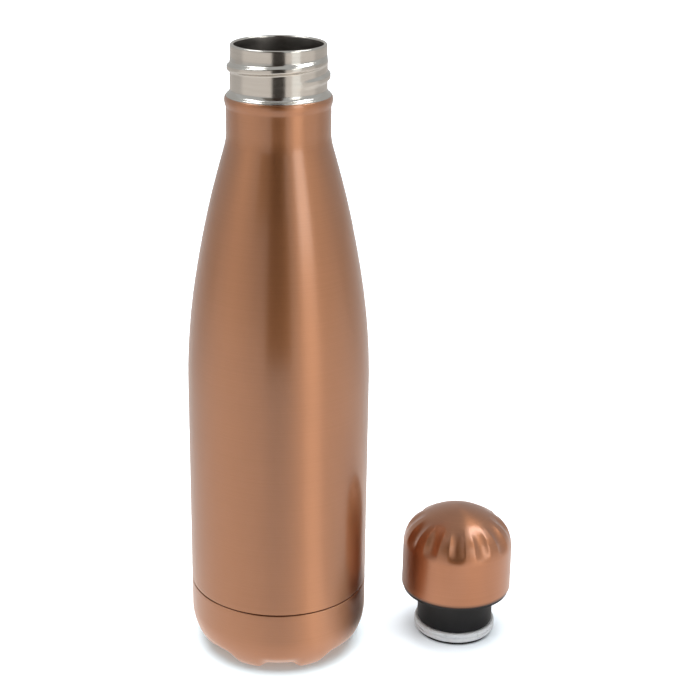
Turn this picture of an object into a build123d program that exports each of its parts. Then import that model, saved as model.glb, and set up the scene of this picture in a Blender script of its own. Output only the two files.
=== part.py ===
from build123d import *
from math import asin, cos, degrees, radians, sin
import os

# Copper-finished double-wall vacuum bottle with its screw cap standing beside it.
# Millimetres, +Z up. The origin is on the bottle's axis, on the surface that it stands on.

# Bottle: outer shell and base cup
body_r = 35.0
sheet = 0.45
seam_top_z = 28.1
seam_bottom_z = 27.6
straight_top_z = 112.0
shoulder_points = [(34.35, 130.0), (32.45, 148.0), (29.42, 166.0), (25.60, 184.0)]
shoulder_end = (20.03, 204.7)
shoulder_end_slope = -0.283
copper_neck_r = 19.27
copper_neck_start_z = 210.1
collar_start_z = 219.3
collar_bead_r = 19.85
collar_bead_z = 222.0
collar_edge_r = 19.35
collar_z = 223.6

# Base cup foot
foot_r = 27.5
foot_edge_round = 0.4
foot_curve_z = 16.5
foot_ring_inner_r = 23.0
foot_recess_r = 20.0
foot_recess_depth = 4.0
notch_count = 7
notch_phase_deg = 271.0
notch_half_width = 8.4
notch_height = 2.8

# Inner flask
rim_z = 242.2
neck_r = 17.5
neck_step_top_z = 238.0
neck_step_bottom_z = 235.0
thread_neck_r = 17.7
bore_r = 16.2
flare_r = 19.25
flare_bottom_z = 224.0
flare_middle = (18.3, 224.6)
flare_top_z = 226.0
flange_drop = 0.5
flange_cone = 3.0
bore_end_z = 200.0
flask_r = 31.5
flask_top_z = 110.0
flask_points = [(30.75, 130.0), (28.75, 148.0), (25.55, 166.0), (21.4, 184.0)]
flask_end_slope = -0.12
flask_weld_z = 26.0
flask_floor_z = 16.0
flask_corner_r = 7.0

# Neck thread, one right-hand start
thread_lead = 6.0
thread_turns = 1.05
thread_height = 0.85
thread_root_width = 3.2
thread_crest_width = 1.5
thread_embed = 0.35
thread_start_z = 229.8
thread_start_deg = 305.0

# Structural bottom, evacuation hole and getter
bottom_gap = 0.05
bottom_r = body_r - sheet - bottom_gap
bottom_top_z = 34.0
bottom_floor_z = 7.6
bottom_corner_r = 12.0
dimple_r = 5.0
dimple_depth = 1.6
evacuation_hole_r = 1.0
bead_height = 1.3
getter_r = 3.0
getter_height = 1.2
getter_offset = 12.0
clip_width = 3.0
clip_foot = 3.0
clip_gap = 0.1
clip_thickness = 0.3

# Cap, standing on the end of its plug
cap_x = 72.8
cap_y = 5.0
skirt_z = 20.0
skirt_r = 22.05
dome_start_z = 38.5
dome_start_r = 21.9
dome_shoulder_r = 13.0
dome_apex_z = 54.65
cap_sheet = 0.5
flute_count = 12
flute_r = 8.0
flute_depth = 0.8
flute_angle_deg = 42.0
flute_phase_deg = -7.3

# Thread insert inside the cap
insert_r = 21.4
insert_bottom_z = 19.3
insert_side_top_z = 37.0
insert_ceiling_z = 40.6
insert_top_z = 43.0
insert_top_r = 18.6
insert_root_r = 18.8
insert_crest_r = 18.0
insert_mouth_r = 19.9
insert_mouth_z = 23.6
insert_thread_start_z = 25.6

# Plug, seal and insulation
plug_r = 15.2
plug_wall = 1.6
plug_nose_r = 14.2
plug_nose_top_z = 5.4
base_disc_z = 1.2
base_chamfer = 0.5
base_spigot_z = 3.6
seal_r = 16.4
seal_bore_r = 14.3
seal_bottom_z = 1.3
seal_top_z = 5.3
seal_lip = 0.35
foam_gap = 0.1


def lathe(outline):
    """Turn a closed outline of (radius, height) points and edges about the Z axis."""
    return revolve(make_face(outline), Axis.Z)


def on_xz(points):
    """Place (radius, height) points on the XZ plane."""
    return [Vector(r, 0, z) for r, z in points]


def loop_of(points):
    """Straight closed outline through (radius, height) points."""
    return Polyline(*on_xz(points), close=True).edges()


def shoulder_curve(inset):
    """Edges of the shell's profile from the straight body up to the copper neck, inset by a wall."""
    start = (body_r - inset, straight_top_z)
    end = (shoulder_end[0] - inset, shoulder_end[1])
    middle = [(r - inset, z) for r, z in shoulder_points]
    end_tangent = Vector(shoulder_end_slope, 0, 1)
    sweep_in = Spline(*on_xz([start, *middle, end]), tangents=[Vector(0, 0, 1), end_tangent])
    blend = TangentArc(
        *on_xz([end, (copper_neck_r - inset, copper_neck_start_z)]), tangent=end_tangent
    )
    return [sweep_in, blend]


def shell_solid(inset, low_z):
    """Solid inside the outer shell's profile, inset by a wall, from a height up to the collar's edge."""
    curve = shoulder_curve(inset)
    neck_r_here = copper_neck_r - inset
    edge_r_here = collar_edge_r - inset
    sides = Polyline(
        *on_xz(
            [
                (neck_r_here, copper_neck_start_z),
                (neck_r_here, collar_start_z),
                (collar_bead_r - inset, collar_bead_z),
                (edge_r_here, collar_z),
                (0, collar_z),
                (0, low_z),
                (body_r - inset, low_z),
                (body_r - inset, straight_top_z),
            ]
        )
    )
    return lathe([*curve, *sides.edges()])


def outer_shell():
    outer = shell_solid(0, seam_top_z)
    inner = shell_solid(sheet, seam_top_z - 1)
    return outer - inner


def foot_arc(inset):
    """Quarter-like arc that carries the side wall in to the foot ring."""
    run = body_r - foot_r
    rho = (run**2 + foot_curve_z**2) / (2 * run)
    sweep_deg = degrees(asin(foot_curve_z / rho))
    radius = rho - inset
    centre = (body_r - rho, foot_curve_z)
    angles = [0, -sweep_deg / 2, -sweep_deg]
    points = [
        (centre[0] + radius * cos(radians(a)), centre[1] + radius * sin(radians(a))) for a in angles
    ]
    return points


def foot_solid(inset, top_z):
    """Solid of the base cup's outside, inset by a wall, with its recess and notches."""
    start, middle, end = foot_arc(inset)
    arc = ThreePointArc(*on_xz([start, middle, end]))
    floor_z = inset
    recess_z = foot_recess_depth + inset
    rest = Polyline(
        *on_xz(
            [
                end,
                (end[0] - foot_edge_round, floor_z),
                (foot_ring_inner_r + inset, floor_z),
                (foot_recess_r + inset, recess_z),
                (0, recess_z),
                (0, top_z),
                (body_r - inset, top_z),
                start,
            ]
        )
    )
    cup = lathe([arc, *rest.edges()])
    notch_r = (notch_half_width**2 + notch_height**2) / (2 * notch_height)
    for i in range(notch_count):
        angle = notch_phase_deg + i * 360 / notch_count
        tunnel = Rot(0, 0, angle) * Pos(0, 0, notch_height - notch_r) * Rot(0, 90, 0)
        cup -= tunnel * Cylinder(
            notch_r + inset, body_r, align=(Align.CENTER, Align.CENTER, Align.MIN)
        )
    return cup


def base_cup():
    outer = foot_solid(0, seam_bottom_z)
    inner = foot_solid(sheet, seam_bottom_z + 1)
    return outer - inner


def flask_curve(inset):
    """Edges of the inner flask's profile from its straight body up to its bore, inset by a wall."""
    start = (flask_r - inset, flask_top_z)
    end = (bore_r + sheet - inset, bore_end_z)
    middle = [(r - inset, z) for r, z in flask_points]
    end_tangent = Vector(flask_end_slope, 0, 1)
    return Spline(*on_xz([start, *middle, end]), tangents=[Vector(0, 0, 1), end_tangent])


def helix_ridge(root_r, crest_r, start_z, start_deg):
    """Thread ridge of trapezoid section, from a root radius to a crest radius."""
    path = Helix(thread_lead, thread_lead * thread_turns, root_r)
    outward = 1 if crest_r > root_r else -1
    across = abs(crest_r - root_r)
    plane = Plane(origin=path @ 0, x_dir=(outward, 0, 0), z_dir=path % 0)
    corners = [
        (-thread_embed, -thread_root_width / 2),
        (across, -thread_crest_width / 2),
        (across, thread_crest_width / 2),
        (-thread_embed, thread_root_width / 2),
    ]
    section = plane * make_face(Polyline(*corners, close=True).edges())
    ridge = sweep(section, path=path, is_frenet=True)
    return Rot(0, 0, start_deg) * Pos(0, 0, start_z) * ridge


def inner_flask():
    lip_r = (neck_r - bore_r) / 2
    outer_curve = flask_curve(0)
    inside_neck_r = bore_r + sheet
    flange_r = collar_edge_r - sheet
    flange = Polyline(
        *on_xz(
            [
                (inside_neck_r, bore_end_z),
                (inside_neck_r, collar_z - flange_cone),
                (flange_r, collar_z - flange_drop),
                (flange_r, collar_z),
                (flare_r, collar_z),
                (flare_r, flare_bottom_z),
            ]
        )
    )
    flare = ThreePointArc(
        *on_xz([(flare_r, flare_bottom_z), flare_middle, (thread_neck_r, flare_top_z)])
    )
    neck = Polyline(
        *on_xz(
            [
                (thread_neck_r, flare_top_z),
                (thread_neck_r, neck_step_bottom_z),
                (neck_r, neck_step_top_z),
                (neck_r, rim_z - lip_r),
            ]
        )
    )
    lip = ThreePointArc(
        *on_xz([(neck_r, rim_z - lip_r), (neck_r - lip_r, rim_z), (bore_r, rim_z - lip_r)])
    )
    bore = Line(*on_xz([(bore_r, rim_z - lip_r), (bore_r, bore_end_z)]))
    inner_curve = flask_curve(sheet)
    inside_wall = Line(*on_xz([(flask_r - sheet, flask_top_z), (flask_r - sheet, flask_weld_z)]))
    weld_edge = Line(*on_xz([(flask_r - sheet, flask_weld_z), (flask_r, flask_weld_z)]))
    outside_wall = Line(*on_xz([(flask_r, flask_weld_z), (flask_r, flask_top_z)]))
    outside = [outer_curve, *flange.edges(), flare, *neck.edges(), lip]
    body = lathe([*outside, bore, inner_curve, inside_wall, weld_edge, outside_wall])
    crest_r = thread_neck_r + thread_height
    ridge = helix_ridge(thread_neck_r, crest_r, thread_start_z, thread_start_deg)
    return body + ridge


def dish(radius, corner_r, floor_z, top_z, wall):
    """Thin round dish with a rounded corner: outside radius, outside floor height and rim height."""
    outer_size = top_z - floor_z
    outer = Pos(0, 0, floor_z) * Cylinder(
        radius, outer_size, align=(Align.CENTER, Align.CENTER, Align.MIN)
    )
    outer = fillet(outer.edges().sort_by(Axis.Z)[0], corner_r)
    inner = Pos(0, 0, floor_z + wall) * Cylinder(
        radius - wall, outer_size, align=(Align.CENTER, Align.CENTER, Align.MIN)
    )
    inner = fillet(inner.edges().sort_by(Axis.Z)[0], corner_r - wall)
    return outer - inner


def inner_flask_bottom():
    return dish(flask_r, flask_corner_r, flask_floor_z, flask_weld_z, sheet)


def outer_bottom():
    cup = dish(bottom_r, bottom_corner_r, bottom_floor_z, bottom_top_z, sheet)
    dimple_outer = Pos(0, 0, bottom_floor_z) * Cylinder(
        dimple_r, dimple_depth + sheet, align=(Align.CENTER, Align.CENTER, Align.MIN)
    )
    dimple_inner = Pos(0, 0, bottom_floor_z) * Cylinder(
        dimple_r - sheet, dimple_depth, align=(Align.CENTER, Align.CENTER, Align.MIN)
    )
    through = 2 * bottom_corner_r
    hole = Pos(0, 0, bottom_floor_z) * Cylinder(evacuation_hole_r, through)
    return cup + dimple_outer - dimple_inner - hole


def seal_bead():
    """Solder bead that closes the evacuation hole, under the dimple's roof."""
    roof_z = bottom_floor_z + dimple_depth
    bead = Pos(0, 0, roof_z - bead_height) * Cylinder(
        dimple_r - 2 * sheet, bead_height, align=(Align.CENTER, Align.CENTER, Align.MIN)
    )
    return fillet(bead.edges().sort_by(Axis.Z)[0], bead_height / 2)


def getter_seat_z():
    return bottom_floor_z + sheet


def getter():
    """Pressed getter pellet in the vacuum space, held to the bottom by its clip."""
    return Pos(getter_offset, 0, getter_seat_z()) * Cylinder(
        getter_r, getter_height, align=(Align.CENTER, Align.CENTER, Align.MIN)
    )


def getter_clip():
    """Thin strap over the pellet with a foot on each side, spot-welded down."""
    low_z = getter_seat_z()
    reach = getter_r + clip_gap
    top_z = low_z + getter_height
    foot_reach = reach + clip_foot
    side = [
        (foot_reach, low_z),
        (foot_reach, low_z + clip_thickness),
        (reach + clip_thickness, low_z + clip_thickness),
        (reach + clip_thickness, top_z + clip_thickness),
    ]
    under = [(reach, top_z), (reach, low_z)]
    left = [(-y, z) for y, z in reversed(side)]
    under_left = [(-y, z) for y, z in reversed(under)]
    outline = side + left + under_left + under
    points = [Vector(0, y, z) for y, z in outline]
    strap = extrude(make_face(Polyline(*points, close=True).edges()), clip_width / 2, both=True)
    return Pos(getter_offset, 0, 0) * strap


def at_cap(shape):
    """Move a cap piece from the cap's own axis to where the cap stands."""
    return Pos(cap_x, cap_y, 0) * shape


def dome_solid(inset, low_z):
    """Solid of the cap's outside, inset by a wall, with its flutes scooped out."""
    side_r = dome_start_r - inset
    shoulder_r = dome_shoulder_r - inset
    apex_z = dome_apex_z - inset
    shoulder_x = side_r - shoulder_r
    rise = apex_z - dome_start_z
    crown_r = (rise**2 + shoulder_x**2 - shoulder_r**2) / (2 * (rise - shoulder_r))
    crown_z = apex_z - crown_r
    meet = degrees(asin((dome_start_z - crown_z) / (crown_r - shoulder_r)))
    crown_mid = (meet + 90) / 2

    def shoulder_at(deg):
        x = shoulder_x + shoulder_r * cos(radians(deg))
        return (x, dome_start_z + shoulder_r * sin(radians(deg)))

    def crown_at(deg):
        return (crown_r * cos(radians(deg)), crown_z + crown_r * sin(radians(deg)))

    shoulder = ThreePointArc(*on_xz([shoulder_at(0), shoulder_at(meet / 2), shoulder_at(meet)]))
    crown = ThreePointArc(*on_xz([shoulder_at(meet), crown_at(crown_mid), (0, apex_z)]))
    sides = Polyline(*on_xz([(0, apex_z), (0, low_z), (skirt_r - inset, low_z), shoulder_at(0)]))
    dome = lathe([shoulder, crown, *sides.edges()])
    lift = flute_r - flute_depth + inset
    flute_x, flute_z = shoulder_at(flute_angle_deg)
    centre_x = flute_x + lift * cos(radians(flute_angle_deg))
    centre_z = flute_z + lift * sin(radians(flute_angle_deg))
    scoop = Pos(centre_x, 0, centre_z) * Rot(0, -flute_angle_deg, 0)
    scoop = scoop * Cylinder(flute_r + inset, 2 * body_r)
    for i in range(flute_count):
        turn = flute_phase_deg + i * 360 / flute_count
        dome -= Rot(0, 0, turn) * scoop
    return dome


def cap_shell():
    outer = dome_solid(0, skirt_z)
    inner = dome_solid(cap_sheet, skirt_z - 1)
    return at_cap(outer - inner)


def thread_insert():
    body = lathe(
        loop_of(
            [
                (insert_mouth_r, insert_bottom_z),
                (insert_r, insert_bottom_z),
                (insert_r, insert_side_top_z),
                (insert_top_r, insert_top_z),
                (0, insert_top_z),
                (0, insert_ceiling_z),
                (insert_root_r, insert_ceiling_z),
                (insert_root_r, insert_mouth_z),
            ]
        )
    )
    ridge = helix_ridge(insert_root_r, insert_crest_r, insert_thread_start_z, thread_start_deg)
    return at_cap(body + ridge)


def plug_body():
    bore = plug_nose_r - plug_wall
    return at_cap(
        lathe(
            loop_of(
                [
                    (bore, base_disc_z),
                    (plug_nose_r, base_disc_z),
                    (plug_nose_r, plug_nose_top_z),
                    (plug_r, plug_nose_top_z),
                    (plug_r, insert_ceiling_z),
                    (bore, insert_ceiling_z),
                ]
            )
        )
    )


def plug_base():
    spigot_r = plug_nose_r - plug_wall - foam_gap
    disc = lathe(
        loop_of(
            [
                (0, 0),
                (plug_r - base_chamfer, 0),
                (plug_r, base_chamfer),
                (plug_r, base_disc_z),
                (spigot_r, base_disc_z),
                (spigot_r, base_spigot_z),
                (0, base_spigot_z),
            ]
        )
    )
    return at_cap(disc)


def seal_ring():
    """Silicone ring with two rounded lips around the plug's nose."""
    root_r = seal_r - seal_lip
    height = seal_top_z - seal_bottom_z
    valley_z = (seal_bottom_z + seal_top_z) / 2
    lower_z = seal_bottom_z + height / 4
    upper_z = seal_top_z - height / 4
    inside = Polyline(
        *on_xz(
            [
                (root_r, seal_top_z),
                (seal_bore_r, seal_top_z),
                (seal_bore_r, seal_bottom_z),
                (root_r, seal_bottom_z),
            ]
        )
    )
    lower = ThreePointArc(
        *on_xz([(root_r, seal_bottom_z), (seal_r, lower_z), (root_r, valley_z)])
    )
    upper = ThreePointArc(*on_xz([(root_r, valley_z), (seal_r, upper_z), (root_r, seal_top_z)]))
    return at_cap(lathe([*inside.edges(), lower, upper]))


def foam_core():
    bore = plug_nose_r - plug_wall - foam_gap
    height = insert_ceiling_z - base_spigot_z - 2 * foam_gap
    return at_cap(
        Pos(0, 0, base_spigot_z + foam_gap)
        * Cylinder(bore, height, align=(Align.CENTER, Align.CENTER, Align.MIN))
    )


nodes = {
    "outer_shell": outer_shell,
    "base_cup": base_cup,
    "inner_flask": inner_flask,
    "inner_flask_bottom": inner_flask_bottom,
    "outer_bottom": outer_bottom,
    "seal_bead": seal_bead,
    "getter": getter,
    "getter_clip": getter_clip,
    "cap_shell": cap_shell,
    "thread_insert": thread_insert,
    "plug_body": plug_body,
    "plug_base": plug_base,
    "seal_ring": seal_ring,
    "foam_core": foam_core,
}

os.makedirs("parts", exist_ok=True)
for name, make in nodes.items():
    export_step(make(), f"parts/{name}.step")
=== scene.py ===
"""Looks of the copper-finished vacuum bottle and its screw cap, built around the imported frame."""
import math

import bpy
import numpy as np
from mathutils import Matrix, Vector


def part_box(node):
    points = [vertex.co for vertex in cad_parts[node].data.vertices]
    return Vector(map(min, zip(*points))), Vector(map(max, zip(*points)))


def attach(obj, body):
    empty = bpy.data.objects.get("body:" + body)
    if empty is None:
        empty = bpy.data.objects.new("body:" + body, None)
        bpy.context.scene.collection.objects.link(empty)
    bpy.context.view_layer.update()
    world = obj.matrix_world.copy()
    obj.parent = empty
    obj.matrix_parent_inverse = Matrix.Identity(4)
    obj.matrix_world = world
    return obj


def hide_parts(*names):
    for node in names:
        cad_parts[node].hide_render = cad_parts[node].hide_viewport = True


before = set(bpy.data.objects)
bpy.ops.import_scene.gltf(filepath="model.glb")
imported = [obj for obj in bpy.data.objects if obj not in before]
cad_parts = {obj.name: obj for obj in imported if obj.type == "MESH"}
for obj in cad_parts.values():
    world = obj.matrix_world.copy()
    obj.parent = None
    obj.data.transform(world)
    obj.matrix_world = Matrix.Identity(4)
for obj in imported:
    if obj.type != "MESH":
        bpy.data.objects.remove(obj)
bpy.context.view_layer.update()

MM = 0.001

# ---------------------------------------------------------------- places, from the frame
shell_low, shell_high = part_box("outer_shell")
cup_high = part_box("base_cup")[1]
flask_low, flask_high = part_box("inner_flask")
cap_low, cap_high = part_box("cap_shell")
plug_low, plug_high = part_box("plug_body")
disc_low, disc_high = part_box("plug_base")
ring_low, ring_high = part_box("seal_ring")

BODY_R = shell_high.x
SEAM_TOP = shell_low.z
COLLAR_TOP = shell_high.z
RIM = flask_high.z
FLASK_R = flask_high.x
CAP_X = (cap_low.x + cap_high.x) / 2
CAP_Y = (cap_low.y + cap_high.y) / 2


# ---------------------------------------------------------------- outlines
def arc(centre, radius, start_deg, end_deg, steps):
    """Points on an arc in the (radius, height) plane."""
    angles = np.radians(np.linspace(start_deg, end_deg, steps + 1))
    return [(centre[0] + radius * math.cos(a), centre[1] + radius * math.sin(a)) for a in angles]


def clamped_spline(points, start_slope, end_slope, steps):
    """Cubic spline through points, with set directions at its ends, parametrised by chord length."""
    pts = np.array(points, float)
    chord = np.linalg.norm(np.diff(pts, axis=0), axis=1)
    t = np.concatenate([[0], np.cumsum(chord)])
    n = len(pts)
    a = np.zeros((n, n))
    rhs = np.zeros((n, 2))
    a[0, 0] = a[-1, -1] = 1
    rhs[0] = np.array(start_slope) / np.linalg.norm(start_slope)
    rhs[-1] = np.array(end_slope) / np.linalg.norm(end_slope)
    for i in range(1, n - 1):
        before, after = chord[i - 1], chord[i]
        a[i, i - 1], a[i, i], a[i, i + 1] = after, 2 * (before + after), before
        step_up = (pts[i + 1] - pts[i]) / after
        step_down = (pts[i] - pts[i - 1]) / before
        rhs[i] = 3 * (after * step_down + before * step_up)
    slopes = np.linalg.solve(a, rhs)
    out = []
    for u in np.linspace(0, t[-1], steps + 1):
        i = min(n - 2, int(np.searchsorted(t, u, side="right")) - 1)
        h = chord[i]
        s = (u - t[i]) / h
        point = (
            (2 * s**3 - 3 * s**2 + 1) * pts[i]
            + (s**3 - 2 * s**2 + s) * h * slopes[i]
            + (3 * s**2 - 2 * s**3) * pts[i + 1]
            + (s**3 - s**2) * h * slopes[i + 1]
        )
        out.append(tuple(point))
    return out


def even(points, spacing):
    """The same polyline with extra points so that no step is longer than spacing."""
    out = [points[0]]
    for a, b in zip(points, points[1:]):
        count = max(1, math.ceil(math.dist(a, b) / spacing))
        for k in range(1, count + 1):
            out.append((a[0] + (b[0] - a[0]) * k / count, a[1] + (b[1] - a[1]) * k / count))
    return out


def ramp(low, high, value):
    """Smooth step from 0 at low to 1 at high."""
    s = np.clip((value - low) / (high - low), 0, 1)
    return s * s * (3 - 2 * s)


# ---------------------------------------------------------------- meshes
def lathe(name, outline, axis=(0.0, 0.0), segments=192, shape=None, closed=True):
    """Turns an outline of (radius, height) points about a vertical axis. A point of radius 0 is a pole.
    shape, if given, takes arrays of radius, height and angle and returns the shaped radius and height."""
    rows, points, faces = [], [], []
    angles = np.arange(segments) * 2 * math.pi / segments
    for r, z in outline:
        if r <= 1e-9:
            rows.append([len(points)])
            points.append((axis[0], axis[1], z))
            continue
        radii, heights = np.full(segments, r), np.full(segments, z)
        if shape:
            radii, heights = shape(radii, heights, angles)
        rows.append(list(range(len(points), len(points) + segments)))
        xs = axis[0] + radii * np.cos(angles)
        ys = axis[1] + radii * np.sin(angles)
        points.extend(zip(xs.tolist(), ys.tolist(), heights.tolist()))
    pairs = list(zip(rows, rows[1:]))
    if closed:
        pairs.append((rows[-1], rows[0]))
    for low, high in pairs:
        if len(low) == 1 and len(high) == 1:
            continue
        for k in range(segments):
            j = (k + 1) % segments
            if len(low) == 1:
                faces.append((low[0], high[j], high[k]))
            elif len(high) == 1:
                faces.append((low[k], low[j], high[0]))
            else:
                faces.append((low[k], low[j], high[j], high[k]))
    mesh = bpy.data.meshes.new(name)
    mesh.from_pydata(points, [], faces)
    mesh.validate()
    mesh.polygons.foreach_set("use_smooth", [True] * len(mesh.polygons))
    piece = bpy.data.objects.new(name, mesh)
    bpy.context.scene.collection.objects.link(piece)
    return piece


def stands_for(piece, body, node, material):
    """Puts a piece in place of a CAD node, with its material."""
    piece.data.materials.append(material)
    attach(piece, body)
    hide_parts(node)


# ---------------------------------------------------------------- materials
class Nodes:
    """Short calls for building a node tree."""

    def __init__(self, name):
        self.material = bpy.data.materials.new(name)
        self.material.use_nodes = True
        self.tree = self.material.node_tree
        self.shader = self.tree.nodes["Principled BSDF"]

    def add(self, kind, **values):
        node = self.tree.nodes.new(kind)
        for key, value in values.items():
            setattr(node, key, value)
        return node

    def link(self, source, target):
        self.tree.links.new(source, target)

    def set(self, **values):
        for key, value in values.items():
            self.shader.inputs[key.replace("_", " ")].default_value = value

    def coords(self, scale):
        """Object coordinates, scaled on each axis, so that a pattern stays with the piece."""
        source = self.add("ShaderNodeTexCoord")
        mapping = self.add("ShaderNodeMapping")
        mapping.inputs["Scale"].default_value = scale
        self.link(source.outputs["Object"], mapping.inputs["Vector"])
        return mapping.outputs["Vector"]

    def noise(self, scale, detail=4.0, roughness=0.55):
        texture = self.add("ShaderNodeTexNoise")
        texture.inputs["Scale"].default_value = 1.0
        texture.inputs["Detail"].default_value = detail
        texture.inputs["Roughness"].default_value = roughness
        self.link(self.coords(scale), texture.inputs["Vector"])
        return texture.outputs["Fac"]

    def remap(self, value, low, high, from_low=0.3, from_high=0.7):
        """Takes from_low to low and from_high to high, and holds there. The defaults suit a noise."""
        node = self.add("ShaderNodeMapRange")
        node.inputs["From Min"].default_value = from_low
        node.inputs["From Max"].default_value = from_high
        node.inputs["To Min"].default_value = low
        node.inputs["To Max"].default_value = high
        self.link(value, node.inputs["Value"])
        return node.outputs["Result"]

    def blend(self, factor, first, second):
        node = self.add("ShaderNodeMix", data_type="RGBA")
        node.inputs["A"].default_value = (*first, 1)
        node.inputs["B"].default_value = (*second, 1)
        self.link(factor, node.inputs["Factor"])
        return node.outputs["Result"]

    def fade(self, factor, first, second):
        """Goes from a colour that other nodes give to one set colour as factor goes from 0 to 1."""
        node = self.add("ShaderNodeMix", data_type="RGBA")
        node.inputs["B"].default_value = (*second, 1)
        self.link(first, node.inputs["A"])
        self.link(factor, node.inputs["Factor"])
        return node.outputs["Result"]

    def along(self, axis):
        """One of the object coordinates, in metres."""
        node = self.add("ShaderNodeSeparateXYZ")
        self.link(self.coords((1, 1, 1)), node.inputs["Vector"])
        return node.outputs[axis]

    def distance_from(self, x, y):
        """Distance along the floor from a place, for a glow that changes with it."""
        offset = self.add("ShaderNodeVectorMath", operation="SUBTRACT")
        self.link(self.coords((1, 1, 0)), offset.inputs[0])
        offset.inputs[1].default_value = (x, y, 0)
        length = self.add("ShaderNodeVectorMath", operation="LENGTH")
        self.link(offset.outputs["Vector"], length.inputs[0])
        return length.outputs["Value"]

    def product(self, first, second):
        node = self.add("ShaderNodeMath", operation="MULTIPLY")
        self.link(first, node.inputs[0])
        self.link(second, node.inputs[1])
        return node.outputs["Value"]

    def bump(self, height, distance):
        node = self.add("ShaderNodeBump")
        node.inputs["Distance"].default_value = distance
        node.inputs["Strength"].default_value = 1.0
        self.link(height, node.inputs["Height"])
        self.link(node.outputs["Normal"], self.shader.inputs["Normal"])

    def turned(self):
        """Tangent round the piece's vertical axis, for a turned or brushed finish."""
        node = self.add("ShaderNodeTangent", direction_type="RADIAL", axis="Z")
        self.link(node.outputs["Tangent"], self.shader.inputs["Tangent"])


# Painted shade: the cap's coat darkens towards a dark brown along its lowest edge, standing in for the
# dark plug and the shade under the cap that the rolled hem reflects.
HEM_PAINTED_SHADE_FADE = 1.5 * MM
HEM_PAINTED_SHADE_COLOUR = (0.10, 0.04, 0.02)


def brushed_copper(name, dark, light, roughness, spread, streak_bump, coat, hem=0.0):
    """Copper-coloured coat over steel brushed round the axis: fine streaks run round the piece.
    hem is the height that the painted shade on the lower edge fades out at. Below it the coat darkens,
    standing in for the dark plug and the shade under the cap that the hem reflects."""
    n = Nodes(name)
    streaks = n.noise((18, 18, 5200), detail=5.0, roughness=0.7)
    patches = n.noise((30, 30, 60), detail=2.0)
    # painted shade along the hem, fading out upwards
    edge = n.remap(n.along("Z"), 1, 0, hem - HEM_PAINTED_SHADE_FADE, hem)
    colour = n.blend(n.remap(streaks, 0, 1), dark, light)
    n.link(n.fade(edge, colour, HEM_PAINTED_SHADE_COLOUR), n.shader.inputs["Base Color"])
    mixed = n.add("ShaderNodeMath", operation="MULTIPLY_ADD")
    n.link(n.remap(streaks, -0.03, 0.03), mixed.inputs[0])
    mixed.inputs[1].default_value = 1.0
    n.link(n.remap(patches, roughness - 0.015, roughness + 0.015), mixed.inputs[2])
    n.link(mixed.outputs["Value"], n.shader.inputs["Roughness"])
    n.set(Metallic=1.0, Anisotropic=spread, Anisotropic_Rotation=0.25)
    n.set(Coat_Weight=1.0, Coat_Roughness=coat, Coat_IOR=1.75)
    n.turned()
    n.bump(streaks, streak_bump)
    return n.material


def polished_steel():
    n = Nodes("polished_steel")
    smears = n.noise((40, 40, 900), detail=3.0)
    n.link(n.blend(n.remap(smears, 0, 1), (0.60, 0.59, 0.55), (0.65, 0.64, 0.60)),
           n.shader.inputs["Base Color"])
    n.link(n.remap(smears, 0.15, 0.19), n.shader.inputs["Roughness"])
    n.set(Metallic=1.0)
    n.bump(smears, 0.000004)
    return n.material


def moulded_plastic():
    n = Nodes("black_plastic")
    grain = n.noise((1800, 1800, 1800), detail=2.0)
    cloud = n.noise((90, 90, 90), detail=2.0)
    n.link(n.blend(n.remap(cloud, 0, 1), (0.006, 0.0065, 0.0075), (0.009, 0.0095, 0.011)),
           n.shader.inputs["Base Color"])
    n.link(n.remap(grain, 0.30, 0.34), n.shader.inputs["Roughness"])
    n.set(Specular_IOR_Level=0.34)
    n.bump(grain, 0.0000015)
    return n.material


def silicone():
    n = Nodes("silicone")
    dust = n.noise((700, 700, 700), detail=3.0)
    n.link(n.blend(n.remap(dust, 0, 1), (0.565, 0.57, 0.575), (0.60, 0.605, 0.61)),
           n.shader.inputs["Base Color"])
    n.link(n.remap(dust, 0.26, 0.34), n.shader.inputs["Roughness"])
    n.set(Specular_IOR_Level=0.5)
    n.bump(dust, 0.000003)
    return n.material


def plain_metal(name, dark, light, roughness):
    n = Nodes(name)
    marks = n.noise((120, 120, 400), detail=3.0)
    n.link(n.blend(n.remap(marks, 0, 1), dark, light), n.shader.inputs["Base Color"])
    n.link(n.remap(marks, roughness - 0.05, roughness + 0.05), n.shader.inputs["Roughness"])
    n.set(Metallic=1.0)
    return n.material


MILL_DARK = (0.45, 0.45, 0.45)
MILL_LIGHT = (0.58, 0.58, 0.58)


def coated_steel():
    """Mill-finish steel that carries the dark edge of the copper coat from the seam upwards."""
    n = Nodes("plain_steel_coated")
    marks = n.noise((120, 120, 400), detail=3.0)
    coat = n.remap(n.along("Z"), 0, 1, cup_high.z - 1.0 * MM, cup_high.z - 0.5 * MM)
    bare = n.blend(n.remap(marks, 0, 1), MILL_DARK, MILL_LIGHT)
    n.link(n.fade(coat, bare, (0.13, 0.055, 0.025)), n.shader.inputs["Base Color"])
    n.link(n.remap(marks, 0.35, 0.45), n.shader.inputs["Roughness"])
    n.set(Metallic=1.0)
    return n.material


def granular(name, dark, light, size, roughness):
    n = Nodes(name)
    grains = n.noise((size, size, size), detail=3.0)
    n.link(n.blend(n.remap(grains, 0, 1), dark, light), n.shader.inputs["Base Color"])
    n.link(n.remap(grains, roughness - 0.08, roughness + 0.08), n.shader.inputs["Roughness"])
    n.bump(grains, 0.00005)
    return n.material


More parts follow.
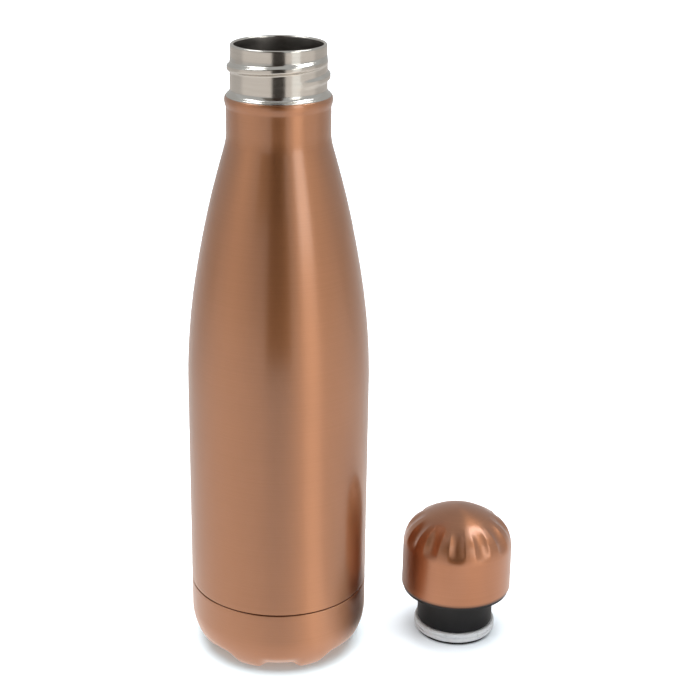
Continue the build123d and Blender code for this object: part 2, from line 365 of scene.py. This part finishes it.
copper = brushed_copper("copper_finish", (0.455, 0.192, 0.075), (0.500, 0.213, 0.088),
                        roughness=0.46, spread=0.86, streak_bump=0.000002, coat=0.20)
# the cap's copper, with painted shade along its hem
copper_gloss = brushed_copper("copper_gloss", (0.455, 0.178, 0.068), (0.500, 0.198, 0.080),
                              roughness=0.43, spread=0.60, streak_bump=0.000001, coat=0.26,
                              hem=cap_low.z + 2.1 * MM)
steel = polished_steel()
# satin finish for the flask's inside, its colour darker than the outer steel: painted shade in the bore
satin_steel_painted_shade = plain_metal("satin_steel_painted_shade", (0.24, 0.225, 0.21), (0.32, 0.30, 0.28), 0.38)
plastic = moulded_plastic()
rubber = silicone()
mill_steel = plain_metal("plain_steel", MILL_DARK, MILL_LIGHT, 0.35)
seam_steel = coated_steel()
getter_metal = granular("getter_metal", (0.12, 0.12, 0.13), (0.22, 0.22, 0.23),
                        size=4000, roughness=0.7)
bead_glass = granular("solder_glass", (0.03, 0.028, 0.026), (0.06, 0.055, 0.05),
                      size=900, roughness=0.3)
foam = granular("foam", (0.70, 0.70, 0.67), (0.85, 0.85, 0.82), size=1500, roughness=0.8)


# ---------------------------------------------------------------- bottle
SHEET = 0.45 * MM
SHEET_EDGE = 0.25 * MM
NECK_R = 19.28 * MM
COLLAR_R = 19.85 * MM
STRAIGHT_TOP = 112 * MM
SHOULDER = [(35.0, 112.0), (34.35, 130.0), (32.45, 148.0), (29.42, 166.0), (25.60, 184.0),
            (20.03, 204.7)]
SHOULDER_END_SLOPE = (-0.283, 1.0)
NECK_START = 210.1 * MM


def shell_profile(inset):
    """The copper shell's profile from its straight body up to the neck, inset by a wall."""
    points = [(r * MM - inset, z * MM) for r, z in SHOULDER]
    curve = clamped_spline(points, (0, 1), SHOULDER_END_SLOPE, 90)
    end = points[-1]
    blend = clamped_spline([end, (NECK_R - inset, NECK_START)], SHOULDER_END_SLOPE, (0, 1), 14)
    return curve + blend[1:]


def make_shell():
    """The straight body, shoulder and copper neck, with the rolled bead of its collar."""
    bead = [
        (NECK_R, COLLAR_TOP - 4.4 * MM),
        (NECK_R + 0.22 * MM, COLLAR_TOP - 3.4 * MM),
        (COLLAR_R - 0.06 * MM, COLLAR_TOP - 2.3 * MM),
        (COLLAR_R, COLLAR_TOP - 1.5 * MM),
        (COLLAR_R - 0.12 * MM, COLLAR_TOP - 0.6 * MM),
        (COLLAR_R - 0.5 * MM, COLLAR_TOP - 0.05 * MM),
    ]
    bead = clamped_spline(bead, (0, 1), (-1, 0.15), 24)
    outline = [(BODY_R - SHEET, SEAM_TOP)]
    outline += arc((BODY_R - SHEET_EDGE, SEAM_TOP + SHEET_EDGE), SHEET_EDGE, -90, 0, 6)
    outline += even([(BODY_R, SEAM_TOP + SHEET_EDGE), (BODY_R, STRAIGHT_TOP)], 2 * MM)[1:]
    outline += shell_profile(0)[1:]
    outline += even([(NECK_R, NECK_START), bead[0]], 1 * MM)[1:]
    outline += bead[1:]
    outline += [(NECK_R - SHEET, COLLAR_TOP - 0.05 * MM)]
    outline += list(reversed(shell_profile(SHEET)))
    piece = lathe("bottle_shell", outline, segments=256)
    stands_for(piece, "bottle", "outer_shell", copper)


FOOT_R = 27.5 * MM
FOOT_CURVE = 16.5 * MM
NOTCHES = 7
NOTCH_PHASE = math.radians(271)
NOTCH_RISE = 2.4 * MM
NOTCH_FLAT_DEG = 9.0
NOTCH_END_DEG = 18.5
UNDERSIDE_Z = 4.0 * MM
UNDERSIDE_R = FOOT_R - 8.5 * MM


def foot_profile(inset):
    """The arc that draws the cup in from the body to its foot, inset by a wall."""
    run = BODY_R - FOOT_R
    rho = (run**2 + FOOT_CURVE**2) / (2 * run)
    sweep = math.degrees(math.asin(FOOT_CURVE / rho))
    return arc((BODY_R - rho, FOOT_CURVE), rho - inset, 0, -sweep, 40)


def lift_notches(radii, heights, angles):
    """Raises the foot between its lobes: seven smooth arches in the ring, fading up the wall."""
    turn = (angles - NOTCH_PHASE) * NOTCHES / (2 * math.pi)
    off_deg = np.abs(turn - np.round(turn)) * 360 / NOTCHES
    arch = 1 - ramp(NOTCH_FLAT_DEG, NOTCH_END_DEG, off_deg)
    near_foot = 1 - ramp(0.0, 9 * MM, heights)
    on_ring = ramp(16 * MM, 21.5 * MM, radii)
    return radii, heights + NOTCH_RISE * arch * near_foot * on_ring


def make_cup():
    """The pressed cup below the seam: wall, foot ring and recessed underside, drawn from the top down."""
    top = cup_high.z
    outer = [(BODY_R - SHEET, top)]
    outer += list(reversed(arc((BODY_R - SHEET_EDGE, top - SHEET_EDGE), SHEET_EDGE, 0, 90, 6)))
    outer += even([(BODY_R, top - SHEET_EDGE), (BODY_R, FOOT_CURVE)], 1.5 * MM)[1:]
    side = foot_profile(0)
    outer += side[1:-2]
    r, z = side[-2]
    foot = clamped_spline(
        [(r, z), (FOOT_R - 1.3 * MM, 0.0), (FOOT_R - 3.2 * MM, 0.35 * MM),
         (FOOT_R - 6.0 * MM, 3.2 * MM), (UNDERSIDE_R, UNDERSIDE_Z)],
        (side[-1][0] - r, side[-1][1] - z), (-1, 0), 60)
    outer += foot
    outer += even([foot[-1], (0, UNDERSIDE_Z)], 2 * MM)[1:]
    inner = [(0, UNDERSIDE_Z + SHEET), (UNDERSIDE_R, UNDERSIDE_Z + SHEET)]
    inner += [(FOOT_R - 4.0 * MM, UNDERSIDE_Z + SHEET)]
    inner += list(reversed(foot_profile(SHEET)))[8:]
    inner += [(BODY_R - SHEET, FOOT_CURVE + 1 * MM)]
    outline = list(reversed(outer + inner))
    piece = lathe("base_cup_skin", outline, segments=336, shape=lift_notches)
    stands_for(piece, "bottle", "base_cup", copper)


NECK_OUT = 17.5 * MM
NECK_LOW = 17.72 * MM
BORE_R = 16.2 * MM
THREAD_LEAD = 6.0 * MM
THREAD_HEIGHT = 1.08 * MM
THREAD_CREST = 0.55 * MM
THREAD_FLANK = 1.95 * MM
THREAD_START = 18.0
THREAD_FULL = THREAD_START + 75
THREAD_FADES = 375.0
THREAD_END = 465.0
THREAD_Z = 229.7 * MM
THREAD_Z_DEG = 30
LIP_START = 235.2 * MM
LIP_STRAIGHT = 238.4 * MM
FLASK_SHOULDER = [(31.5, 110.0), (30.75, 130.0), (28.75, 148.0), (25.55, 166.0), (21.4, 184.0),
                  (16.8, 200.0)]
FLASK_TOP = 200 * MM


def raise_thread(radii, heights, angles):
    """Rolled right-hand ridge on the outside of the neck, fading in and out at its ends. Its angles are
    in degrees from the front, and its height is THREAD_Z where it has turned by THREAD_Z_DEG."""
    if radii[0] < BORE_R + 0.9 * MM or heights[0] < RIM - 18 * MM:
        return radii, heights
    from_front = (np.degrees(angles) - 270) % 360
    out = radii.copy()
    for turn in range(3):
        along = from_front + 360 * turn
        rises = ramp(THREAD_START, THREAD_FULL, along)
        falls = 1 - ramp(THREAD_FADES, THREAD_END, along)
        centre = THREAD_Z + (along - THREAD_Z_DEG) / 360 * THREAD_LEAD
        crest = 1 - ramp(THREAD_CREST, THREAD_FLANK, np.abs(heights - centre))
        out += THREAD_HEIGHT * rises * falls * crest
    return out, heights


def flask_profile(inset):
    """The flask's shoulder, inset by a wall."""
    points = [(r * MM - inset, z * MM) for r, z in FLASK_SHOULDER]
    return clamped_spline(points, (0, 1), (-0.12, 1), 60)


def make_flask():
    """The inner wall, with the bare neck, flare and rolled lip. Its inside has a satin finish, in a steel
    darker than the outside that paints shade into the bore.
    """
    lip = (NECK_OUT - BORE_R) / 2
    low = flask_low.z
    outside = flask_profile(0)
    inside = flask_profile(SHEET)
    flare = [
        (COLLAR_R - 0.62 * MM, COLLAR_TOP - 0.02 * MM),
        (COLLAR_R - 0.72 * MM, COLLAR_TOP + 0.30 * MM),
        (COLLAR_R - 1.25 * MM, COLLAR_TOP + 0.75 * MM),
        (COLLAR_R - 1.75 * MM, COLLAR_TOP + 1.3 * MM),
        (NECK_LOW + 0.08 * MM, COLLAR_TOP + 2.0 * MM),
        (NECK_LOW, COLLAR_TOP + 2.7 * MM),
    ]
    flare = clamped_spline(flare, (0.1, 1), (0, 1), 40)
    upper = clamped_spline([(NECK_LOW, LIP_START), (NECK_OUT, LIP_STRAIGHT)], (0, 1), (0, 1), 12)
    outline = [(FLASK_R - SHEET, low), (FLASK_R, low)]
    outline += even([(FLASK_R, low), outside[0]], 4 * MM)[1:]
    outline += outside[1:]
    outline += [(BORE_R + SHEET, COLLAR_TOP - 4 * MM), (COLLAR_R - 0.8 * MM, COLLAR_TOP - 0.8 * MM)]
    outline += flare
    outline += even([flare[-1], upper[0]], 0.2 * MM)[1:]
    outline += even(upper, 0.2 * MM)[1:]
    outline += even([upper[-1], (NECK_OUT, RIM - lip)], 0.4 * MM)[1:]
    outline += arc((NECK_OUT - lip, RIM - lip), lip, 0, 180, 16)[1:]
    outline += even([(BORE_R, RIM - lip), (BORE_R, FLASK_TOP)], 2 * MM)[1:]
    outline += list(reversed(inside))[1:]
    outline += even([inside[0], (FLASK_R - SHEET, low)], 4 * MM)[1:-1]
    piece = lathe("flask_liner", outline, segments=384, shape=raise_thread)
    stands_for(piece, "bottle", "inner_flask", steel)
    # the inside faces take the darker satin steel, painted shade in the bore
    piece.data.materials.append(satin_steel_painted_shade)
    for face in piece.data.polygons:
        middle = face.center
        inward = middle.x * face.normal.x + middle.y * face.normal.y < 0
        if inward and middle.z < RIM - 1.5 * lip:
            face.material_index = 1


# ---------------------------------------------------------------- cap
SKIRT_R = (cap_high.x - cap_low.x) / 2
SIDE_R = 21.9 * MM
DOME_START = 38.5 * MM
DOME_SHOULDER = 13.0 * MM
CAP_SHEET = 0.5 * MM
FLUTES = 12
FLUTE_DEPTH = 0.8 * MM
FLUTE_HALF_WIDTH = 3.7 * MM
FLUTE_PHASE = math.radians(-7.3)
FLUTE_TOP_NARROWING = 0.32
FLUTE_LOW_DEG = 5.0
FLUTE_HIGH_DEG = 80.0
HEM_R = 1.3 * MM
PLUG_WALL = 1.6 * MM
PLUG_STEP = 1.0 * MM
PLUG_EDGE = 0.3 * MM
DISC_EDGE = 0.45 * MM
RING_BORE_R = 14.3 * MM
RING_GROOVE = 0.35 * MM


def dome_profile(inset):
    """The cap's profile from the top of its side wall to its apex: a shoulder arc and a crown arc."""
    apex = cap_high.z - inset
    shoulder = DOME_SHOULDER - inset
    centre_r = SIDE_R - DOME_SHOULDER
    rise = apex - DOME_START
    crown = (rise**2 + centre_r**2 - shoulder**2) / (2 * (rise - shoulder))
    crown_z = apex - crown
    meet = math.degrees(math.asin((DOME_START - crown_z) / (crown - shoulder)))
    points = arc((centre_r, DOME_START), shoulder, 0, meet, 36)
    points += arc((0, crown_z), crown, meet, 90, 30)[1:-1]
    return points + [(0, apex)]


def scoop_flutes(radii, heights, angles):
    """Presses the flutes into the dome's shoulder: deep and wide low down, fading towards the top."""
    r, z = radii[0], heights[0]
    lean = math.atan2(z - DOME_START, r - (SIDE_R - DOME_SHOULDER))
    along = (math.degrees(lean) - FLUTE_LOW_DEG) / (FLUTE_HIGH_DEG - FLUTE_LOW_DEG)
    if along <= 0 or along >= 1:
        return radii, heights
    depth = FLUTE_DEPTH * ramp(0.0, 0.30, along) * (1 - ramp(0.45, 1.0, along))
    half_width = FLUTE_HALF_WIDTH * (1 - FLUTE_TOP_NARROWING * along)
    pitch = 2 * math.pi / FLUTES
    turns = (angles - FLUTE_PHASE) / pitch
    off = np.abs(turns - np.round(turns)) * pitch * r
    press = depth * np.clip(1 - (off / half_width) ** 2, 0, 1) ** 1.25
    return radii - press * math.cos(lean), heights - press * math.sin(lean)


def make_cap_shell():
    """The pressed dome, with its rounded hem and flutes."""
    low = cap_low.z
    outline = [(SKIRT_R - HEM_R - CAP_SHEET, low)]
    outline += arc((SKIRT_R - HEM_R, low + HEM_R), HEM_R, -90, 0, 10)
    outline += even([(SKIRT_R, low + HEM_R), (SIDE_R, DOME_START)], 0.8 * MM)[1:]
    outline += even(dome_profile(0), 0.35 * MM)[1:]
    outline += list(reversed(even(dome_profile(CAP_SHEET), 0.35 * MM)))
    piece = lathe("cap_dome", outline, axis=(CAP_X, CAP_Y), segments=384, shape=scoop_flutes)
    stands_for(piece, "cap", "cap_shell", copper_gloss)


PLUG_R = (plug_high.x - plug_low.x) / 2
NOSE_R = PLUG_R - PLUG_STEP
PLUG_BORE_R = NOSE_R - PLUG_WALL


def make_plug():
    """The plug's tube, stepped in at its nose for the ring."""
    nose_top = ring_high.z + 0.1 * MM
    shoulder_r = PLUG_R - PLUG_EDGE
    outline = [(PLUG_BORE_R, plug_low.z), (NOSE_R, plug_low.z), (NOSE_R, nose_top)]
    outline += [(shoulder_r, nose_top)]
    outline += arc((shoulder_r, nose_top + PLUG_EDGE), PLUG_EDGE, -90, 0, 5)[1:]
    outline += even([(PLUG_R, nose_top + PLUG_EDGE), (PLUG_R, plug_high.z)], 2 * MM)[1:]
    outline += [(PLUG_BORE_R, plug_high.z)]
    piece = lathe("plug_sleeve", outline, axis=(CAP_X, CAP_Y))
    stands_for(piece, "cap", "plug_body", plastic)


def make_plug_end():
    """The disc that closes the plug, with a spigot inside its bore. The cap stands on it."""
    low, top = disc_low.z, plug_low.z
    spigot = PLUG_BORE_R - 0.1 * MM
    outline = [(0, low), (PLUG_R - DISC_EDGE, low)]
    outline += arc((PLUG_R - DISC_EDGE, low + DISC_EDGE), DISC_EDGE, -90, 0, 6)[1:]
    outline += [(PLUG_R, top - 0.1 * MM), (PLUG_R - 0.1 * MM, top)]
    outline += [(spigot, top), (spigot, disc_high.z), (0, disc_high.z)]
    piece = lathe("plug_end", outline, axis=(CAP_X, CAP_Y), closed=False)
    stands_for(piece, "cap", "plug_base", plastic)


def make_ring():
    """The seal: two round lips with a groove between them."""
    r = (ring_high.x - ring_low.x) / 2
    low, top = ring_low.z, ring_high.z
    middle = (low + top) / 2
    lip = (top - low) / 4
    root = r - RING_GROOVE
    end = root - 0.4 * MM
    outline = [(RING_BORE_R, low), (end, low)]
    outline += clamped_spline([(end, low), (r, low + lip), (root, middle)],
                              (1, 0.2), (-0.4, 1), 14)[1:]
    outline += clamped_spline([(root, middle), (r, top - lip), (end, top)],
                              (0.4, 1), (-1, 0.2), 14)[1:]
    outline += [(RING_BORE_R, top)]
    piece = lathe("seal_ring_soft", outline, axis=(CAP_X, CAP_Y))
    stands_for(piece, "seal", "seal_ring", rubber)


make_shell()
make_cup()
make_flask()
make_cap_shell()
make_plug()
make_plug_end()
make_ring()

for node, material in {
    "inner_flask_bottom": steel,
    "outer_bottom": seam_steel,
    "seal_bead": bead_glass,
    "getter": getter_metal,
    "getter_clip": mill_steel,
    "thread_insert": plastic,
    "foam_core": foam,
}.items():
    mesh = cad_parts[node].data
    mesh.materials.clear()
    mesh.materials.append(material)


# ---------------------------------------------------------------- studio
def glow(name, colour, strength):
    """Plain light of one colour, for the cards and the sky."""
    material = bpy.data.materials.new(name)
    material.use_nodes = True
    nodes = material.node_tree.nodes
    nodes.clear()
    emission = nodes.new("ShaderNodeEmission")
    emission.inputs["Color"].default_value = (*colour, 1)
    emission.inputs["Strength"].default_value = strength
    output = nodes.new("ShaderNodeOutputMaterial")
    material.node_tree.links.new(emission.outputs["Emission"], output.inputs["Surface"])
    return material


def place_on_stage(name, mesh):
    """Adds a mesh to the scene as part of the studio, not of the object."""
    thing = bpy.data.objects.new(name, mesh)
    bpy.context.scene.collection.objects.link(thing)
    return thing


def only_reflected(thing):
    """Hides a thing from the camera and from soft light, so that only reflections see it."""
    thing.visible_camera = False
    thing.visible_diffuse = False
    thing.visible_shadow = False


def make_plane(name, half, height, material):
    mesh = bpy.data.meshes.new(name)
    corners = [(-half, -half), (half, -half), (half, half), (-half, half)]
    mesh.from_pydata([(x, y, height) for x, y in corners], [], [(0, 1, 2, 3)])
    mesh.materials.append(material)
    return place_on_stage(name, mesh)


# How far from the bottle's axis, from the cap's axis and from the spot behind the bottle the floor's
# painted cool shade and
#  painted shadows change, each from the first distance to the second.
BOTTLE_CONTACT = (0.030, 0.039)
CAP_SHADE = (0.028, 0.048)
SPOT_SHADE = (0.025, 0.045)
SPOT = (0.020, 0.050)
BACK_FADE = (0.0, 0.20)


def glowing_floor_painted_shade(name, dark, light, under, near, far, reach, tint=(1.0, 1.0, 1.0), shade=0.5, back=1.0):
    """Paper with painted light: it glows by near at the bottle and by far further off, with the change
    between the two distances of reach, in the colour tint. under is its colour where the bottle touches
    it, a painted cool shade which evens out the copper's warm light. shade is what is left of the glow
    under the cap, twice shade what is left at the spot behind the bottle, and back what is left behind
    them both: these are painted shadows."""
    n = Nodes(name)
    fibres = n.noise((60, 60, 60), detail=3.0)
    paper = n.blend(n.remap(fibres, 0, 1), dark, light)
    from_bottle = n.distance_from(0, 0)
    # painted cool shade: a bluish colour where the bottle touches the floor
    touching = n.remap(from_bottle, 1, 0, *BOTTLE_CONTACT)
    n.link(n.fade(touching, paper, under), n.shader.inputs["Base Color"])
    n.set(Roughness=0.9, Specular_IOR_Level=0.1)
    # painted light: the paper glows, in the colour tint, by an amount that changes with distance from the
    # bottle
    n.set(Emission_Color=(*tint, 1))
    spread = n.remap(from_bottle, near, far, *reach)
    # painted shadows: less glow under the cap, at the spot behind the bottle and towards the back
    painted_cap_shadow = n.remap(n.distance_from(CAP_X, CAP_Y), shade, 1.0, *CAP_SHADE)
    painted_spot_shadow = n.remap(n.distance_from(*SPOT), 2 * shade, 1.0, *SPOT_SHADE)
    behind = n.remap(n.along("Y"), 1.0, back, *BACK_FADE)
    strength = n.product(n.product(spread, painted_cap_shadow), n.product(behind, painted_spot_shadow))
    n.link(strength, n.shader.inputs["Emission Strength"])
    return n.material


FLOOR_HALF = 6.0
SKY_HALF = 0.6
SKY_HEIGHT = 1.1
SKY_GLOW = 6.6


def make_floor():
    """A pale floor lifted to white for the eye by a glow that rises away from the bottle, with painted
    shade under the cap, over a glowing one that only reflections see, with painted light near the bottle
    and painted shadows, and a soft light above them."""
    # The seen floor's glow rises away from the bottle, with painted shade under the cap and a painted
    # cool shade where the bottle touches it.
    pale = glowing_floor_painted_shade("floor_seen", (0.81, 0.865, 0.91), (0.83, 0.885, 0.93), (0.71, 0.865, 0.94),
                       near=0.15, far=0.8, reach=(0.35, 1.1))
    seen = make_plane("floor", FLOOR_HALF, 0.0, pale)
    seen.visible_glossy = False
    # The reflected floor is painted light: it glows brighter near the bottle in a warm tint, with painted
    # shadows under the cap, behind the bottle and at the back.
    plain = glowing_floor_painted_shade("floor_reflected_painted_shade", (0.17, 0.17, 0.17), (0.19, 0.19, 0.19), (0.18, 0.18, 0.18),
                        near=0.85, far=0.62, reach=(0.04, 0.09),
                        tint=(1.0, 0.88, 0.80), shade=0.10, back=0.62)
    only_reflected(make_plane("floor_mirrored", FLOOR_HALF, 0.0001, plain))
    sky = make_plane("sky", SKY_HALF, SKY_HEIGHT, glow("sky", (1.0, 1.0, 1.0), SKY_GLOW))
    sky.visible_camera = False
    sky.visible_glossy = False


def make_card(name, centre, size, azimuth, colour, strength):
    """Upright studio card or strip that only reflections see. azimuth 0 faces the camera side."""
    half_w, half_h = size[0] / 2, size[1] / 2
    mesh = bpy.data.meshes.new(name)
    mesh.from_pydata([(-half_w, 0, -half_h), (half_w, 0, -half_h), (half_w, 0, half_h),
                      (-half_w, 0, half_h)], [], [(0, 1, 2, 3)])
    mesh.materials.append(glow(name, colour, strength))
    card = place_on_stage(name, mesh)
    card.location = centre
    card.rotation_euler = (0, 0, math.radians(azimuth))
    only_reflected(card)


def make_wedge(name, azimuth, half_angle, near, far, colour, strength):
    """Painted pool of the strip's light on the floor: a glowing stretch that only reflections see,
    running out from the bottle.
    """
    turns = [math.radians(azimuth - half_angle), math.radians(azimuth + half_angle)]
    corners = [(near, turns[0]), (far, turns[0]), (far, turns[1]), (near, turns[1])]
    mesh = bpy.data.meshes.new(name)
    mesh.from_pydata([(r * math.cos(a), r * math.sin(a), 0.0002) for r, a in corners],
                     [], [(0, 1, 2, 3)])
    mesh.materials.append(glow(name, colour, strength))
    only_reflected(place_on_stage(name, mesh))


def make_area(name, place, target, size, energy):
    """Rectangular lamp at a place, aimed at a target and kept out of diffuse light."""
    light = bpy.data.lights.new(name, "AREA")
    light.shape = "RECTANGLE"
    light.size, light.size_y = size
    light.energy = energy
    lamp = bpy.data.objects.new(name, light)
    lamp.location = place
    aim = np.array(target, float) - np.array(place, float)
    heading = math.atan2(aim[1], aim[0])
    tilt = math.atan2(math.hypot(aim[0], aim[1]), -aim[2])
    lamp.rotation_euler = (tilt, 0, heading - math.pi / 2)
    lamp.visible_diffuse = False
    bpy.context.scene.collection.objects.link(lamp)


make_floor()
for name, x in {"left_box": -0.85, "right_box": 0.85}.items():
    make_area(name, (x, 0.05, 1.5), target=(0, 0, 0.1), size=(0.6, 0.7), energy=6.5)
make_card("camera_gap", (-0.022, -0.62, 0.80), (0.30, 1.0), 0, (0.032, 0.018, 0.012), 1.0)
make_card("camera_gap_foot", (0.0, -0.62, 0.15), (0.34, 0.30), 0, (0.04, 0.034, 0.03), 1.0)
make_card("gap_wing", (-0.30, -0.60, 0.90), (0.26, 1.2), -20, (0.18, 0.16, 0.14), 1.0)
make_card("strip", (0.72, -0.82, 0.60), (0.40, 0.72), 41, (1.0, 0.98, 0.95), 2.5)
make_card("strip_foot", (0.72, -0.82, 0.12), (0.40, 0.24), 41, (1.0, 0.98, 0.95), 1.15)
# painted pool of the strip's light, which carries its highlight down the lower body
make_wedge("strip_floor", azimuth=-49, half_angle=10, near=0.04, far=1.05,
           colour=(1.0, 0.90, 0.82), strength=1.3)
make_card("backdrop", (0.0, 1.4, 1.0), (5.0, 2.0), 180, (1.0, 0.98, 0.96), 0.50)

world = bpy.data.worlds.new("studio")
world.use_nodes = True
background = world.node_tree.nodes["Background"]
background.inputs["Color"].default_value = (1.0, 1.0, 1.0, 1)
background.inputs["Strength"].default_value = 0.55
scene = bpy.context.scene
scene.world = world
scene.view_settings.view_transform = "Standard"
scene.view_settings.look = "None"

# ---------------------------------------------------------------- camera
CAMERA_DOWN_DEG = 20.8

camera_data = bpy.data.cameras.new("camera")
camera_data.sensor_width = 36.0
camera_data.lens = 80.2
camera_data.shift_x = 0.102
camera_data.clip_start = 0.01
camera = bpy.data.objects.new("camera", camera_data)
camera.location = (0.0, -0.561, 0.3376)
camera.rotation_euler = (math.radians(90 - CAMERA_DOWN_DEG), 0, 0)
scene.collection.objects.link(camera)
scene.camera = camera
